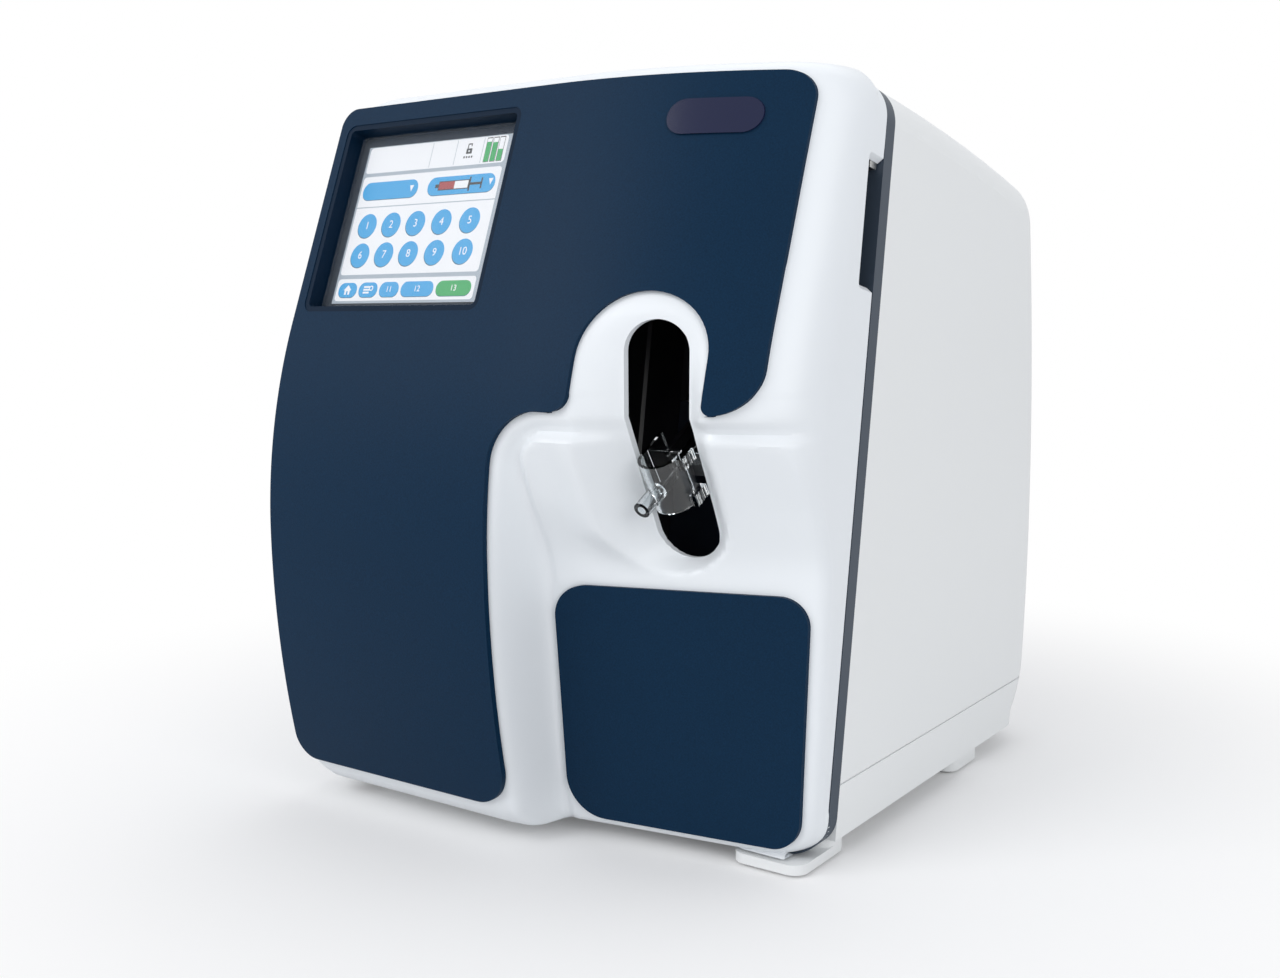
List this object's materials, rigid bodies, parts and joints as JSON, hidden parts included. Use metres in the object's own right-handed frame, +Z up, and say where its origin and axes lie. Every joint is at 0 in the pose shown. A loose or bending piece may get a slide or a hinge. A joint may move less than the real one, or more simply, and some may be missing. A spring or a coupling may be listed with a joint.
{
  "type": "blood gas analyzer",
  "caption": "Bench-top blood gas analyzer with a curved front door, a tilted screen, a sampler arm in a slot and a pump, cartridge and sensor holder inside.",
  "frame": {"origin": "centre of the footprint of the whole analyzer, on the surface it stands on", "axes": "+Z up, -Y out of the front door, +X to the right seen from the front"},
  "size_m": [0.305, 0.366, 0.388],
  "materials": {
    "casing_white": "fine matt",
    "door_white": "satin",
    "panel_blue": "fine stipple",
    "trim_slate": "satin",
    "fascia_blue": "satin",
    "plastic_black": "satin",
    "plastic_grey": "satin",
    "plastic_clear": "clear",
    "screen_glass": "clear",
    "lcd": "satin",
    "circuit_green": "satin",
    "sheet_steel": "brushed",
    "bright_steel": "polished",
    "zinc_steel": "zinc plated",
    "back_paint": "powder coat",
    "aluminium_post": "turned",
    "rubber_black": "matt",
    "tube_clear": "soft",
    "roller_white": "smooth",
    "motor_black": "satin",
    "card_white": "satin"
  },
  "bodies": {
    "base": {"rear_casing": "casing_white", "base_pan": "casing_white", "rubber_feet": "rubber_black", "front_frame": "trim_slate", "fascia": "fascia_blue", "cartridge_bay": "fascia_blue", "reagent_cartridge": "plastic_black", "sampler_bracket": "plastic_grey", "sampler_shaft": "bright_steel", "sampler_motor": "motor_black", "hinge_brackets": "zinc_steel", "hinge_pins": "bright_steel", "latch_magnets": "bright_steel", "pump_housing": "plastic_grey", "pump_motor": "motor_black", "pump_tube": "tube_clear", "sensor_holder": "plastic_grey", "sensor_card": "card_white", "clamp_pin": "bright_steel", "chassis_plate": "sheet_steel", "base_screws": "zinc_steel", "bulkhead": "sheet_steel", "board_spacers": "aluminium_post", "mainboard": "circuit_green", "power_supply": "sheet_steel", "back_panel": "back_paint", "fan_housing": "plastic_black", "power_inlet": "plastic_black", "switch_housing": "plastic_black", "usb_ports": "zinc_steel", "lan_port": "zinc_steel"},
    "door": {"door_shell": "door_white", "upper_panel": "panel_blue", "lower_panel": "panel_blue", "name_badge": "panel_blue", "display_bezel": "panel_blue", "display_glass": "screen_glass", "lcd_module": "lcd", "display_board": "circuit_green", "hinge_lugs": "zinc_steel", "strike_plates": "zinc_steel"},
    "sampler": {"sampler_arm": "plastic_grey", "sample_guard": "plastic_clear"},
    "probe_slide": {"probe_carriage": "plastic_black", "probe": "bright_steel"},
    "pump_wheel": {"pump_rotor": "plastic_black", "pump_shaft": "bright_steel"},
    "roller_a": {"pump_roller_1": "roller_white"},
    "roller_b": {"pump_roller_2": "roller_white"},
    "roller_c": {"pump_roller_3": "roller_white"},
    "card_clamp": {"clamp_lever": "plastic_clear"},
    "fan_wheel": {"fan_rotor": "plastic_black"},
    "power_switch": {"switch_rocker": "plastic_black"}
  },
  "joints": [
    {"name": "door_hinge", "type": "hinge", "parent": "base", "child": "door", "pos_m": [-0.1445, -0.09617, 0.19113], "axis": [0, 0.153, 0.9882], "range_deg": [-100, 0]},
    {"name": "sampler_swing", "type": "hinge", "parent": "base", "child": "sampler", "pos_m": [0.085, -0.07249, 0.233], "axis": [1, 0, 0], "range_deg": [-20, 10]},
    {"name": "probe_travel", "type": "slide", "parent": "sampler", "child": "probe_slide", "axis": [0, -0.8499, -0.527], "range_m": [0, 0.012]},
    {"name": "pump_turn", "type": "hinge", "parent": "base", "child": "pump_wheel", "pos_m": [0.06, -0.09203, 0.07412], "axis": [0, -0.9882, 0.153], "continuous": true},
    {"name": "roller_a_turn", "type": "hinge", "parent": "pump_wheel", "child": "roller_a", "pos_m": [0.0735, -0.09203, 0.07412], "axis": [0, -0.9882, 0.153], "continuous": true},
    {"name": "roller_b_turn", "type": "hinge", "parent": "pump_wheel", "child": "roller_b", "pos_m": [0.05325, -0.09024, 0.08567], "axis": [0, -0.9882, 0.153], "continuous": true},
    {"name": "roller_c_turn", "type": "hinge", "parent": "pump_wheel", "child": "roller_c", "pos_m": [0.05325, -0.09381, 0.06256], "axis": [0, -0.9882, 0.153], "continuous": true},
    {"name": "card_clamp_swing", "type": "hinge", "parent": "base", "child": "card_clamp", "pos_m": [-0.072, -0.09381, 0.10374], "axis": [1, 0, 0], "range_deg": [-80, 0]},
    {"name": "fan_turn", "type": "hinge", "parent": "base", "child": "fan_wheel", "pos_m": [-0.06, 0.152, 0.23], "axis": [0, 1, 0], "continuous": true},
    {"name": "switch_rock", "type": "hinge", "parent": "base", "child": "power_switch", "pos_m": [0.036, 0.161, 0.088], "axis": [1, 0, 0], "range_deg": [-10.5, 0]}
  ],
  "couplings": [
    {"joint": "roller_a_turn", "follows": "pump_turn", "ratio": -4.375},
    {"joint": "roller_b_turn", "follows": "pump_turn", "ratio": -4.375},
    {"joint": "roller_c_turn", "follows": "pump_turn", "ratio": -4.375}
  ]
}
